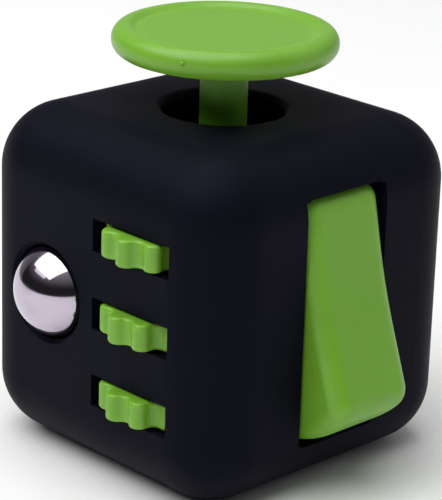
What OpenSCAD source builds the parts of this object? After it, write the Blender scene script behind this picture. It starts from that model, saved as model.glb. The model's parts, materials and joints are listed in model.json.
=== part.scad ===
/* [Case] */
// Edge length of the cube
edge = 33; // [32.5:0.1:40]
// Radius of the rounded edges and corners
edge_r = 6.3; // [5:0.1:7]
// Thickness of the case walls
wall = 2; // [1.9:0.1:2.4]
// Width of the seam between the two shells
seam_gap = 0.05; // [0.02:0.01:0.1]
// Radius of the pins that line the two shells up
case_pin_r = 0.8; // [0.5:0.1:1]
// Radius of the thumb dish in the bottom face
dish_r = 8.5; // [6:0.1:9]
// Depth of the thumb dish
dish_depth = 2.2; // [1:0.1:2.5]

/* [Screws and plates] */
// Radius of the screw shanks
screw_r = 0.75; // [0.6:0.05:0.8]
// Length of the screw shanks
screw_len = 4.5; // [4:0.1:4.6]
// Radius of the screw heads
screw_head_r = 1.4; // [1.2:0.05:1.5]
// Radius of the screw bosses
boss_r = 1.7; // [1.5:0.05:1.8]
// Thickness of the screwed plates
plate = 1.2; // [1:0.05:1.3]

/* [Glide stick] */
// Radius of the hole in the top face
glide_hole_r = 5.8; // [5.2:0.1:6.2]
// Height of the tilt centre below the top face
glide_pivot_depth = 8; // [7.8:0.1:8.6]
// Radius of the ball that tilts in the cradle
glide_ball_r = 3.4; // [3.1:0.05:3.5]
// Radius of the stick
glide_stem_r = 2.25; // [1.8:0.05:2.4]
// Radius of the thumb disc
disc_r = 10.6; // [9:0.1:11]
// Thickness of the thumb disc
disc_h = 2.7; // [2:0.1:3.2]
// Gap between the top face and the thumb disc
disc_lift = 5.05; // [5:0.05:6]
// Radius of the shallow recess in the thumb disc
disc_recess_r = 8.5; // [7:0.1:9]

/* [Gears] */
// Tip radius of the gears
gear_r = 5.3; // [5:0.05:5.4]
// Thickness of the gears
gear_h = 2.6; // [2.2:0.05:2.8]
// Number of rounded lobes on each gear
gear_lobes = 10; // [9:1:12]
// Distance between neighbouring gears
gear_pitch = 7.55; // [7.2:0.05:7.7]
// Distance of the gear axle from the middle of the face
gear_x = 5.65; // [5.6:0.05:5.8]
// How far the gears stand out of the face
gear_proud = 1.7; // [1.2:0.05:1.8]
// Length of each gear slot
slot_len = 10.1; // [10:0.1:10.6]
// Height of each gear slot
slot_h = 3.1; // [3:0.05:3.2]
// Radius of the gear axle
axle_r = 0.8; // [0.6:0.05:1]

/* [Roller ball] */
// Radius of the chrome ball
ball_r = 4.7; // [4.6:0.05:4.75]
// How far the ball stands out of the face
ball_proud = 2.5; // [2.3:0.05:2.6]
// Distance of the ball from the middle of the face
ball_x = 6; // [5.9:0.05:6.1]
// How far the ball can be pressed in
ball_travel = 0.8; // [0.5:0.1:0.9]

/* [Rocker] */
// Length of the rocker opening
rocker_open_len = 23.9; // [23.8:0.1:24.2]
// Width of the rocker opening
rocker_open_w = 10.3; // [9.6:0.1:10.4]
// Height of the rocker's pin above the middle of the face
rocker_rise = 0.4; // [0:0.1:0.5]
// Depth of the rocker's pin below the face
rocker_pin_depth = 4.7; // [4.6:0.05:4.8]
// Distance from the rocker's pin to its front
rocker_reach = 6.5; // [6.2:0.05:6.6]
// Radius of the rocker's round ends about its pin
rocker_end_r = 12.2; // [12:0.05:12.2]
// Lean of the rocker each way from upright, in degrees
rocker_lean = 12; // [8:0.5:12]
// Radius of the rocker's pin
rocker_pin_r = 0.8; // [0.6:0.05:0.9]

/* [Click buttons] */
// Radius of the buttons
button_r = 2.95; // [2.5:0.05:3]
// Distance of the outer buttons from the middle one, across and up
button_pitch = 7; // [6.9:0.05:7.1]
// Press travel of the buttons
button_travel = 1; // [0.6:0.1:1]
// How far the buttons stand out of the face
button_proud = 1.1; // [1:0.1:1.6]

/* [Spin dial] */
// Radius of the dial
dial_r = 9; // [8:0.1:9.2]
// How far the dial stands out of the face
dial_proud = 0.9; // [0.5:0.1:1.5]
// Radius of the dial's shaft
dial_shaft_r = 1.5; // [1.2:0.05:1.6]
// Radius of the finger dimple in the dial
dial_dimple_r = 2.6; // [2:0.1:3]

/* [Hidden] */
$fn = 64;

// Clearances
slide_gap = 0.05;   // between a shaft and the bore it turns or slides in
part_gap = 0.3;     // between pieces that pass each other
button_gap = 0.15;  // round a button or the dial in its opening
cut = 0.01;         // overlap that keeps cuts and joins clean

// Case
half = edge / 2;
corner_solid_r = 9.5;                                // reach of the solid corners that hold the pins
case_pin_half = 1.6;
case_pin_depth = 7.2;                                // in from the cube's sharp corner
case_pin_at = (half * sqrt(3) - case_pin_depth) / sqrt(3);
case_pin_corners = [[1, 1, 1], [-1, -1, 1], [1, -1, -1]];
join_direction = [1, -1, 1] / sqrt(3);
dish_sphere_r = (dish_r * dish_r + dish_depth * dish_depth) / (2 * dish_depth);
dish_floor = 1.6;

// Screws
pilot_gap = 0.03;
pilot_spare = 0.2;                        // free depth past a screw's end
screw_head_h = 0.9;
boss_root = 0.5;
hex_depth = 0.5;
plate_margin = 0.5;                       // round a screw hole in a plate

// Springs
wire_r = 0.2;
fine_wire_r = 0.15;
spring_end_gap = 0.02;

// Glide stick, in the top face's frame, where 0 is the face and + is outward
glide_plate_depth = 4;                    // from the top face down to the cradle's plate
glide_boss_h = glide_plate_depth - wall;
glide_screw_at = 6.5;
glide_screw_places = [[-1, -1], [1, 1], [-1, 1]] * glide_screw_at;
glide_plate_top = -glide_plate_depth;
glide_plate_r = 7.4;
glide_plate_hole_r = 4.4;
glide_arm_in = 4.4;
glide_arm_out = 5.9;
glide_arm_half_w = 1.8;
glide_seat_drop = 8;
glide_seat_top = -glide_pivot_depth - glide_seat_drop;
glide_seat_r = 3.4;
glide_flat_cut = 0.3;
glide_flat = -glide_pivot_depth - glide_ball_r + glide_flat_cut;   // flat underside of the gimbal ball
glide_spring_turns = 5;
glide_spring_r = 2.5;
trunnion_r = 1;
trunnion_inset = 0.2;
tongue_half_w = 1.3;
tongue_half_t = 1;
tongue_side_gap = 0.1;
tongue_end_gap = 0.25;
cheek_half_gap = tongue_half_t + tongue_side_gap;
throat_half_w = 2.7;                      // half width of the gimbal's slot at its top
cross_pin_r = 0.6;
cross_pin_len = 6;
stem_foot_gap = 0.25;
stem_foot = -glide_pivot_depth + glide_ball_r + stem_foot_gap;
lip_r = 0.8;
disc_rim_r = 1.15;
disc_recess_depth = 0.35;

// Gears, in the front face's frame
gear_w = gear_proud - gear_r;             // the axle's place along the outward direction
gear_lobe_r = 0.9;
gear_valley_drop = 0.85;                  // from the tips to the bottom of the valleys
gear_flow_cut = 0.005;                    // how far the valley circles cut into the lobe circles
gear_bore_r = axle_r + slide_gap;
slot_relief = 0.8;                        // thinning of the wall behind each slot
bracket_arm_half_w = 2;
bracket_end_arm_h = 1.5;
bracket_plate_t = 0.9;
bracket_plate_rim = 0.6;
gear_back_gap = 0.25;
bracket_plate_front = gear_w - gear_r - gear_back_gap;
gear_hub_gap = 0.25;
gear_reach = gear_pitch + gear_h / 2 + gear_hub_gap + bracket_end_arm_h;
gear_screw_x = -2.3;
gear_screw_z = 9.4;
gear_angles = [4, 28, 26];                // how far each gear is turned at rest

// Roller ball, in the front face's frame
ball_w = ball_proud - ball_r;
ball_socket_gap = 0.12;
ball_socket_r = ball_r + ball_socket_gap;
ball_mouth_gap = 0.045;
ball_mouth_depth = 0.9;                   // the mouth is straight down to here, then round
ball_mouth_rise = -ball_mouth_depth - ball_w;
ball_mouth_r = sqrt(ball_r * ball_r - ball_mouth_rise * ball_mouth_rise) + ball_mouth_gap;
ball_mouth_chamfer = 0.37;
ball_mouth_chamfer_h = 0.45;
cup_r = ball_r - 0.1;
cup_seat_r = ball_r + slide_gap;
cup_lip_drop = 2.6;                       // from the ball's middle back to the cup's edge
cup_front = ball_w - cup_lip_drop;
cup_floor = 0.8;
cup_back = ball_w - cup_seat_r - cup_floor;
cup_pin_r = 1.2;
cup_pin_len = 1.7;
cup_pin_end_gap = 0.2;
plunger_disc_h = 1.15;
plunger_disc_inset = 0.2;
plunger_stem_r = 2;
plunger_back = cup_back - slide_gap - plunger_disc_h;
plunger_len = 3.4;
ball_spring_turns = 4;
ball_spring_r = 3;
ball_spring_shut = 1.8;                   // length of the spring when the ball is pressed in
guide_floor_top = plunger_back - ball_spring_shut - ball_travel;
guide_bore_gap = 0.12;
guide_bore_r = cup_r + guide_bore_gap;
guide_wall = 0.85;
guide_r = guide_bore_r + guide_wall;
guide_front_gap = 0.6;
guide_boss_h = 4;
guide_screw_x = -3.3;
guide_screw_z = 8.2;

// Rocker, in the right face's frame
rocker_half_w = rocker_open_w / 2 - part_gap;
rocker_skin = 1.2;
rocker_corner_r = 1.8;
rocker_nose_r = 1.6;
rocker_back = 1;                          // how far the rocker's skirts reach behind its pin
rocker_end_gap = 0.35;
rocker_sweep_r = rocker_end_r + rocker_end_gap;
rocker_open_corner_r = 1;
ear_in = rocker_half_w + part_gap;
ear_t = 1;
ear_half_h = 3;
ear_top = rocker_pin_r + 0.9;
rocker_boss_h = 2.5;
rocker_screw_y = 8;
rocker_screw_z = 3.8;
flange_half_h = 5.6;
detent_r = 0.8;
detent_tip = 4.3;                         // distance of the plunger's tip from the rocker's pin
detent_pocket = 0.35;
detent_shoulder = 1.4;                    // from the pin back to where the plunger's bore widens
detent_collar_r = 1.15;
detent_tube_wall = 0.7;
detent_tube_back = 2;
detent_bore_gap = 0.4;
detent_spring_turns = 5;
detent_spring_r = 0.9;
detent_spring_front = rocker_reach - rocker_skin - detent_bore_gap - 0.1;
cam_floor = 0.95;
cam_h = 1.4;
cam_low = -detent_tip - detent_pocket - cam_floor;

// Buttons, in the back face's frame
button_places = [[0, 0], [-1, 1], [1, 1], [-1, -1], [1, -1]] * button_pitch;
button_dome_r = 6;
button_flange_rim = 0.6;
button_flange_r = button_r + button_flange_rim;
button_flange_h = 0.8;
button_flange_top = -wall - slide_gap;
button_stem_r = 1.2;
button_stem_len = 1.1;
button_stem_end = button_flange_top - button_flange_h - button_stem_len;
dome_h = 0.35;
snap_dome_r = 3.2;
snap_dome_rim_r = 1.4;
quiet_pad_r = 1.3;
button_plate_top = button_stem_end - button_travel - slide_gap - dome_h;
button_plate_half = 10.4;
button_plate_corner_r = 2;
button_boss_z = 8.4;
button_spring_r = 1.75;
button_spring_turns = 3;

// Spin dial, in the left face's frame
dial_recess_r = dial_r + button_gap;
dial_recess_depth = 1.75;
dial_back_gap = 0.25;
dial_back = -dial_recess_depth + dial_back_gap;
dial_well_floor = 1.25;
dial_well_wall = 1.2;
dial_well_back = -dial_recess_depth - dial_well_floor;
dial_dimple_at = 5.4;
dial_dimple_rise = 2.6;                   // the dimple's centre above the dial's face
dial_notches = 36;
dial_notch_r = 0.5;
dial_notch_out = 0.25;
dial_notch_foot = 0.2;
bush_r = 2.4;
bush_end = -6;
bush_overhang = 0.5;
bush_boss_r = 3.6;
clip_r = 2.8;
clip_h = 0.6;
clip_gap = 0.02;
clip_slot_half_w = 0.8;
shaft_tail = 0.5;
clip_groove_r = dial_shaft_r - 0.3;

case_colour = [0.09, 0.09, 0.13];
green = [0.55, 0.75, 0.27];
dark_plastic = [0.2, 0.21, 0.24];
steel = [0.75, 0.76, 0.78];
brass = [0.8, 0.66, 0.3];
white_plastic = [0.85, 0.86, 0.84];

// Frames of the six faces: the origin is the middle of the face and +Z points out of the cube.
module face_top() { translate([0, 0, edge]) children(); }
module face_front() { translate([0, -half, half]) rotate([90, 0, 0]) children(); }
module face_right() { translate([half, 0, half]) rotate([90, 0, 90]) children(); }
module face_back() { translate([0, half, half]) rotate([90, 0, 180]) children(); }
module face_left() { translate([-half, 0, half]) rotate([90, 0, -90]) children(); }
module at_middle() { translate([0, 0, half]) children(); }

// General pieces
module ring(outer, inner, from, to) {
    translate([0, 0, from]) difference() {
        cylinder(r = outer, h = to - from);
        translate([0, 0, -cut]) cylinder(r = inner, h = to - from + 2 * cut);
    }
}

module rod(r, from, to) { translate([0, 0, from]) cylinder(r = r, h = to - from); }

// A slab of a given outline between two heights
module slab(from, to) { translate([0, 0, from]) linear_extrude(to - from) children(); }

module rounded_square(size, r) {
    for (x = [-1, 1], y = [-1, 1])
        translate([x * (size.x / 2 - r), y * (size.y / 2 - r)]) circle(r);
    square([size.x - 2 * r, size.y], center = true);
    square([size.x, size.y - 2 * r], center = true);
}

// A boss that stands h off the inside of a wall, and the pilot hole in it
module boss(h) { rod(boss_r, -wall - h, -wall + boss_root); }
module boss_pilot(h, plate_t = plate) {
    rod(screw_r + pilot_gap, -wall - h - cut, -wall - h + screw_len - plate_t + pilot_spare);
}

// A screw whose head seats at a height, pointing outward
module screw(seat) {
    difference() {
        rod(screw_head_r, seat - screw_head_h, seat);
        translate([0, 0, seat - screw_head_h - cut]) cylinder(r = screw_r, h = hex_depth, $fn = 6);
    }
    rod(screw_r, seat - cut, seat + screw_len);
}

// A round wire carried along a helix with flat closed ends
function helix_point(t, turns, r, from, to) =
    [r * cos(360 * turns * t), r * sin(360 * turns * t), from + (to - from) * t];
function wire_point(t, a, turns, r, wire, from, to) =
    helix_point(t, turns, r, from, to)
    + wire * [cos(a) * cos(360 * turns * t), cos(a) * sin(360 * turns * t), sin(a)];

module coil(turns, r, wire, low, high) {
    sides = 6;
    steps_each_turn = 12;
    steps = round(turns * steps_each_turn);
    from = low + wire;
    to = high - wire;
    last = steps * sides;
    polyhedron(
        points = [
            for (i = [0 : steps], k = [0 : sides - 1])
                wire_point(i / steps, 360 * k / sides, turns, r, wire, from, to)
        ],
        faces = concat(
            [[for (k = [0 : sides - 1]) k]],
            [[for (k = [sides - 1 : -1 : 0]) last + k]],
            [for (i = [0 : steps - 1], k = [0 : sides - 1], half_face = [0, 1])
                let (a = i * sides + k, b = i * sides + (k + 1) % sides)
                half_face == 0 ? [a, a + sides, b] : [b, a + sides, b + sides]]
        )
    );
}

// Case: a rounded cube of three bars, twelve round edges and eight round corners
module rounded_cube(size, r) {
    flat = size / 2 - r;
    for (turn = [[0, 0, 0], [90, 0, 0], [0, 90, 0]]) rotate(turn) {
        cube([2 * flat, 2 * flat, size], center = true);
        for (x = [-1, 1], y = [-1, 1])
            translate([x * flat, y * flat, 0]) cylinder(r = r, h = 2 * flat, center = true);
    }
    for (x = [-1, 1], y = [-1, 1], z = [-1, 1]) translate([x, y, z] * flat) sphere(r);
}

// The three pyramids from the cube's centre to its back, left and bottom faces
module rear_region() {
    polyhedron(
        points = edge * [
            [0, 0, 0], [-1, -1, -1], [1, -1, -1], [1, 1, -1],
            [-1, 1, -1], [-1, -1, 1], [1, 1, 1], [-1, 1, 1]
        ],
        faces = [
            [1, 2, 3, 4], [3, 6, 7, 4], [4, 7, 5, 1],
            [2, 1, 0], [3, 2, 0], [6, 3, 0], [7, 6, 0], [5, 7, 0], [1, 5, 0]
        ]
    );
}

module case_pin_rods(r, half_len) {
    for (corner = case_pin_corners) translate(corner * case_pin_at)
        rotate([0, acos(join_direction.z), atan2(join_direction.y, join_direction.x)])
            rod(r, -half_len, half_len);
}

// Hollow cube, centred, with the three corners solid where the pins go
module walls() {
    difference() {
        rounded_cube(edge, edge_r);
        difference() {
            rounded_cube(edge - 2 * wall, edge_r - wall);
            for (corner = case_pin_corners) translate(corner * half) sphere(corner_solid_r);
        }
        case_pin_rods(case_pin_r, case_pin_half);
    }
}

module glide_hole() {
    rod(glide_hole_r, -wall - 1, 1);
    rotate_extrude() difference() {
        translate([glide_hole_r - 1, -lip_r]) square([1 + lip_r, lip_r + 1]);
        translate([glide_hole_r + lip_r, -lip_r]) circle(lip_r);
    }
}

module gear_slots() {
    for (row = [-1 : 1]) translate([gear_x, row * gear_pitch, 0]) {
        cube([slot_len, slot_h, 4 * wall], center = true);
        translate([0, 0, -wall - 1 + slot_relief / 2 + cut])
            cube([slot_len + 2, slot_h, slot_relief + 2], center = true);
    }
}

module ball_socket() {
    translate([-ball_x, 0, 0]) {
        rod(ball_mouth_r, -wall - 1, 1);
        translate([0, 0, -ball_mouth_chamfer_h])
            cylinder(r1 = ball_mouth_r, r2 = ball_mouth_r + ball_mouth_chamfer, h = ball_mouth_chamfer_h);
        rod(ball_mouth_r + ball_mouth_chamfer, -cut, 1);
        intersection() {
            translate([0, 0, ball_w]) sphere(ball_socket_r);
            rod(ball_r + 1, -wall - 3, -ball_mouth_depth);
        }
    }
}

module rocker_opening() {
    translate([0, rocker_rise, 0]) {
        slab(-wall - 1, 1) rounded_square([rocker_open_w, rocker_open_len], rocker_open_corner_r);
        translate([0, 0, -rocker_pin_depth]) rotate([0, 90, 0])
            rod(rocker_sweep_r, -rocker_open_w / 2, rocker_open_w / 2);
    }
}

module front_shell() color(case_colour) {
    difference() {
        union() {
            difference() {
                at_middle() walls();
                at_middle() rear_region();
            }
            face_top() for (at = glide_screw_places) translate(at) boss(glide_boss_h);
            face_front() {
                for (z = [-1, 1]) {
                    translate([gear_screw_x, z * gear_screw_z]) boss(-wall - bracket_plate_front);
                    translate([-ball_x + guide_screw_x, z * guide_screw_z]) boss(guide_boss_h);
                }
            }
            face_right() translate([0, rocker_rise, 0]) for (side = [-1, 1])
                translate([side * rocker_screw_y, -side * rocker_screw_z]) boss(rocker_boss_h);
        }
        face_top() {
            glide_hole();
            for (at = glide_screw_places) translate(at) boss_pilot(glide_boss_h);
        }
        face_front() {
            gear_slots();
            ball_socket();
            for (z = [-1, 1]) {
                translate([gear_screw_x, z * gear_screw_z])
                    boss_pilot(-wall - bracket_plate_front, bracket_plate_t);
                translate([-ball_x + guide_screw_x, z * guide_screw_z]) boss_pilot(guide_boss_h);
            }
        }
        face_right() {
            rocker_opening();
            translate([0, rocker_rise, 0]) for (side = [-1, 1])
                translate([side * rocker_screw_y, -side * rocker_screw_z]) boss_pilot(rocker_boss_h);
        }
    }
}

module dish() { translate([0, 0, dish_depth - dish_sphere_r]) sphere(dish_sphere_r); }

module dish_bulge() {
    intersection() {
        translate([0, 0, dish_depth - dish_sphere_r]) sphere(dish_sphere_r + dish_floor);
        rod(dish_r, wall / 2, edge / 2);
    }
}

module rear_shell() color(case_colour) {
    difference() {
        union() {
            intersection() {
                at_middle() walls();
                at_middle() translate(-seam_gap * join_direction) rear_region();
            }
            dish_bulge();
            face_back() for (z = [-1, 1])
                translate([0, z * button_boss_z]) boss(-wall - button_plate_top);
            face_left() {
                rod(dial_recess_r + dial_well_wall, dial_well_back, -wall + boss_root);
                rod(bush_boss_r, bush_end + bush_overhang, -dial_recess_depth - cut);
            }
        }
        dish();
        face_back() {
            for (at = button_places) translate(at) rod(button_r + button_gap, -wall - 1, 1);
            for (z = [-1, 1])
                translate([0, z * button_boss_z]) boss_pilot(-wall - button_plate_top);
        }
        face_left() {
            rod(dial_recess_r, -dial_recess_depth, 1);
            rod(bush_r, bush_end - 1, 0);
        }
    }
}

module case_pins() color(steel) at_middle() case_pin_rods(case_pin_r, case_pin_half);

// Glide stick
module thumb_disc() color(green) face_top() difference() {
    union() {
        translate([0, 0, disc_lift]) rotate_extrude() {
            square([disc_r - disc_rim_r, disc_h]);
            translate([0, disc_rim_r]) square([disc_r, disc_h - 2 * disc_rim_r]);
            for (y = [disc_rim_r, disc_h - disc_rim_r])
                translate([disc_r - disc_rim_r, y]) circle(disc_rim_r);
        }
        rod(glide_stem_r, stem_foot, disc_lift + cut);
        translate([0, 0, -glide_pivot_depth]) {
            translate([-tongue_half_w, -tongue_half_t, 0])
                cube([2 * tongue_half_w, 2 * tongue_half_t, glide_ball_r + stem_foot_gap + cut]);
            rotate([90, 0, 0]) rod(tongue_half_w, -tongue_half_t, tongue_half_t);
        }
    }
    rod(disc_recess_r, disc_lift + disc_h - disc_recess_depth, disc_lift + disc_h + 1);
    translate([0, 0, -glide_pivot_depth]) rotate([90, 0, 0])
        rod(cross_pin_r + slide_gap, -2 * tongue_half_t, 2 * tongue_half_t);
}

module glide_gimbal() color(dark_plastic) face_top() difference() {
    slot_half_w = tongue_half_w + tongue_end_gap;
    union() {
        intersection() {
            translate([0, 0, -glide_pivot_depth]) sphere(glide_ball_r);
            rod(2 * glide_ball_r, glide_flat, 0);
        }
        translate([0, 0, -glide_pivot_depth]) rotate([0, 90, 0])
            rod(trunnion_r, -glide_arm_out + trunnion_inset, glide_arm_out - trunnion_inset);
    }
    translate([0, 0, -glide_pivot_depth]) rotate([90, 0, 0]) {
        slab(-cheek_half_gap, cheek_half_gap) {
            circle(slot_half_w);
            polygon([
                [-slot_half_w, 0], [slot_half_w, 0],
                [throat_half_w, glide_ball_r + 1], [-throat_half_w, glide_ball_r + 1]
            ]);
        }
        rod(cross_pin_r, -cross_pin_len, cross_pin_len);
    }
}

module glide_cross_pin() color(steel) face_top() translate([0, 0, -glide_pivot_depth])
    rotate([90, 0, 0]) rod(cross_pin_r, -cross_pin_len / 2, cross_pin_len / 2);

module glide_cradle() color(dark_plastic) face_top() difference() {
    union() {
        slab(glide_plate_top - plate, glide_plate_top) {
            circle(glide_plate_r);
            for (at = glide_screw_places) translate(at) circle(boss_r + plate_margin);
        }
        for (side = [-1, 1])
            translate([side * (glide_arm_in + glide_arm_out) / 2, 0, 0])
                slab(glide_seat_top - plate, glide_plate_top - cut)
                    square([glide_arm_out - glide_arm_in, 2 * glide_arm_half_w], center = true);
        slab(glide_seat_top - plate, glide_seat_top)
            square([2 * glide_arm_out, 2 * glide_arm_half_w], center = true);
        rod(glide_seat_r, glide_seat_top - plate, glide_seat_top);
    }
    rod(glide_plate_hole_r, glide_plate_top - plate - 1, glide_plate_top + 1);
    translate([0, 0, -glide_pivot_depth]) rotate([0, 90, 0])
        rod(trunnion_r + slide_gap, -glide_arm_out - 1, glide_arm_out + 1);
    for (at = glide_screw_places) translate(at)
        rod(screw_r + slide_gap, glide_plate_top - plate - 1, glide_plate_top + 1);
}

module glide_spring() color(steel) face_top() coil(
    glide_spring_turns, glide_spring_r, wire_r, glide_seat_top + spring_end_gap, glide_flat - spring_end_gap
);

module glide_screws() color(steel) face_top()
    for (at = glide_screw_places) translate(at) screw(glide_plate_top - plate);

// Gears
module gear(row, turn) color(green) face_front() translate([gear_x, row * gear_pitch, gear_w])
    rotate([-90, 0, 0]) rotate(turn) slab(-gear_h / 2, gear_h / 2) difference() {
        half_pitch = 180 / gear_lobes;
        lobe_at = gear_r - gear_lobe_r;
        valley_floor = gear_r - gear_valley_drop;
        reach = gear_lobe_r - gear_flow_cut;
        along = lobe_at * cos(half_pitch);
        valley_r = (lobe_at * lobe_at + valley_floor * (valley_floor - 2 * along) - reach * reach)
            / (2 * (reach - valley_floor + along));
        valley_place = (valley_floor + valley_r) * [sin(half_pitch), cos(half_pitch)];
        lobe_place = [0, lobe_at];
        meeting = lobe_place + gear_lobe_r * (valley_place - lobe_place) / norm(valley_place - lobe_place);
        union() {
            circle(norm(meeting));
            for (k = [0 : gear_lobes - 1]) rotate(360 * k / gear_lobes)
                translate(lobe_place) circle(gear_lobe_r);
        }
        for (k = [0 : gear_lobes - 1]) rotate(360 * k / gear_lobes)
            translate(valley_place) circle(valley_r);
        circle(gear_bore_r);
    }

module gear_upper() gear(1, gear_angles[0]);
module gear_middle() gear(0, gear_angles[1]);
module gear_lower() gear(-1, gear_angles[2]);

module gear_axle() color(steel) face_front() translate([gear_x, 0, gear_w])
    rotate([-90, 0, 0]) rod(axle_r, -gear_reach, gear_reach);

module gear_bracket() color(dark_plastic) face_front() difference() {
    arm_low = bracket_plate_front - bracket_plate_t;
    mid_arm_half = gear_pitch / 2 - gear_h / 2 - gear_hub_gap;
    union() {
        for (row = [-0.5, 0.5])
            translate([gear_x, row * gear_pitch])
                slab(arm_low, -wall) square([2 * bracket_arm_half_w, 2 * mid_arm_half], center = true);
        for (side = [-1, 1]) {
            translate([gear_x, side * (gear_reach - bracket_end_arm_h / 2)])
                slab(arm_low, -wall - slide_gap)
                    square([2 * bracket_arm_half_w, bracket_end_arm_h], center = true);
            translate([gear_screw_x, side * gear_screw_z]) {
                slab(arm_low, bracket_plate_front) circle(boss_r);
                slab(arm_low, bracket_plate_front) translate([0, -boss_r])
                    square([gear_x - gear_screw_x, 2 * boss_r]);
            }
        }
        slab(arm_low, bracket_plate_front) translate([gear_x, 0])
            square([2 * (bracket_arm_half_w + bracket_plate_rim), 2 * gear_reach], center = true);
    }
    translate([gear_x, 0, gear_w]) rotate([-90, 0, 0]) rod(axle_r, -edge / 2, edge / 2);
    for (side = [-1, 1]) translate([gear_screw_x, side * gear_screw_z])
        rod(screw_r + slide_gap, arm_low - 1, bracket_plate_front + 1);
}

module gear_screws() color(steel) face_front()
    for (side = [-1, 1]) translate([gear_screw_x, side * gear_screw_z])
        screw(bracket_plate_front - bracket_plate_t);

// Roller ball
module ball_frame() { face_front() translate([-ball_x, 0, 0]) children(); }

module roller_ball() color(steel) ball_frame() translate([0, 0, ball_w]) sphere(ball_r);

module ball_cup() color(white_plastic) ball_frame() {
    difference() {
        rod(cup_r, cup_back, cup_front);
        translate([0, 0, ball_w]) sphere(cup_seat_r);
    }
    rod(cup_pin_r, cup_back - cup_pin_len, cup_back + cut);
}

module ball_plunger() color(dark_plastic) ball_frame() difference() {
    union() {
        rod(cup_r - plunger_disc_inset, plunger_back, cup_back - slide_gap);
        rod(plunger_stem_r, plunger_back - plunger_len, plunger_back + cut);
    }
    rod(cup_pin_r + slide_gap, cup_back - cup_pin_len - cup_pin_end_gap, cup_back);
}

module ball_spring() color(steel) ball_frame() coil(
    ball_spring_turns, ball_spring_r, wire_r, guide_floor_top + spring_end_gap, plunger_back - spring_end_gap
);

module ball_guide() color(dark_plastic) ball_frame() difference() {
    union() {
        rod(guide_r, guide_floor_top - plate, -wall - guide_front_gap);
        for (side = [-1, 1])
            slab(-wall - guide_boss_h - plate, -wall - guide_boss_h) {
                translate([guide_screw_x, side * guide_screw_z]) circle(boss_r);
                translate([guide_screw_x - boss_r, min(0, side * guide_screw_z)])
                    square([2 * boss_r, guide_screw_z]);
            }
    }
    rod(guide_bore_r, guide_floor_top, 0);
    rod(plunger_stem_r + slide_gap, guide_floor_top - plate - 1, 0);
    for (side = [-1, 1]) translate([guide_screw_x, side * guide_screw_z])
        rod(screw_r + slide_gap, -wall - guide_boss_h - plate - 1, 0);
}

module ball_screws() color(steel) ball_frame()
    for (side = [-1, 1]) translate([guide_screw_x, side * guide_screw_z])
        screw(-wall - guide_boss_h - plate);

// Rocker, drawn upright about its pin: x is across, y is up and z is outward.
module rocker_frame() {
    face_right() translate([0, rocker_rise, -rocker_pin_depth]) children();
}

module rocker_leaning() { rocker_frame() rotate([-rocker_lean, 0, 0]) children(); }

// The side outline of the rocker, with x outward and y up
module rocker_side(end_r, front) {
    corner_y = sqrt(pow(end_r - rocker_nose_r, 2) - pow(front - rocker_nose_r, 2));
    reach_angle = atan2(front - rocker_nose_r, corner_y);
    intersection() {
        circle(end_r);
        union() {
            translate([-rocker_back, -corner_y]) square([front + rocker_back, 2 * corner_y]);
            for (side = [-1, 1]) translate([front - rocker_nose_r, side * corner_y]) circle(rocker_nose_r);
            polygon([
                [-rocker_back, -end_r - 1], [0, -end_r - 1],
                [end_r * sin(reach_angle), -end_r * cos(reach_angle)],
                [front - rocker_nose_r, 0],
                [end_r * sin(reach_angle), end_r * cos(reach_angle)],
                [0, end_r + 1], [-rocker_back, end_r + 1]
            ]);
        }
    }
}

// Turns a side outline into a solid of a given width about the pin
module rocker_solid(width) {
    rotate([90, 0, 90]) mirror([1, 0, 0]) rotate(90) linear_extrude(width, center = true) children();
}

module rocker() color(green) rocker_leaning() difference() {
    union() {
        difference() {
            intersection() {
                rocker_solid(2 * rocker_half_w) rocker_side(rocker_end_r, rocker_reach);
                slab(-edge, edge) rounded_square([2 * rocker_half_w, 2 * rocker_end_r], rocker_corner_r);
            }
            rocker_solid(2 * (rocker_half_w - rocker_skin)) difference() {
                circle(rocker_end_r - rocker_skin);
                translate([rocker_reach - rocker_skin, -edge]) square([edge, 2 * edge]);
            }
        }
        rod(detent_collar_r + detent_tube_wall, -detent_tube_back, rocker_reach - rocker_skin + cut);
    }
    rotate([0, 90, 0]) rod(rocker_pin_r + slide_gap, -edge / 2, edge / 2);
    rod(detent_r + slide_gap, -detent_tip, rocker_pin_r);
    rod(detent_collar_r, -detent_shoulder, rocker_reach - rocker_skin - detent_bore_gap);
}

module rocker_pin() color(steel) rocker_frame() rotate([0, 90, 0])
    rod(rocker_pin_r, -ear_in - ear_t, ear_in + ear_t);

module detent_plunger() color(white_plastic) rocker_leaning() {
    rod(detent_r, -detent_tip + detent_r, -detent_shoulder);
    translate([0, 0, -detent_tip + detent_r]) sphere(detent_r);
}

module detent_spring() color(steel) rocker_leaning()
    coil(detent_spring_turns, detent_spring_r, fine_wire_r, rocker_pin_r + part_gap, detent_spring_front);

module rocker_bracket() color(dark_plastic) rocker_frame() difference() {
    flange_front = rocker_pin_depth - wall - rocker_boss_h;
    flange_w = rocker_screw_y + boss_r - ear_in;
    union() {
        for (side = [-1, 1]) {
            translate([side * (ear_in + ear_t / 2), 0])
                slab(cam_low, ear_top) square([ear_t, 2 * ear_half_h], center = true);
            translate([side * (ear_in + flange_w / 2), 0])
                slab(flange_front - plate, flange_front)
                    square([flange_w, 2 * flange_half_h], center = true);
        }
        slab(cam_low, cam_low + cam_h) square([2 * (ear_in + ear_t), 2 * ear_half_h], center = true);
    }
    rotate([0, 90, 0]) rod(rocker_pin_r, -edge / 2, edge / 2);
    rotate([0, 90, 0]) rod(detent_tip + slide_gap, -ear_in, ear_in);
    for (lean = [-1, 1] * rocker_lean) rotate([lean, 0, 0])
        rod(detent_r, -detent_tip - detent_pocket, 0);
    for (side = [-1, 1]) translate([side * rocker_screw_y, -side * rocker_screw_z])
        rod(screw_r + slide_gap, flange_front - plate - 1, flange_front + 1);
}

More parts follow.
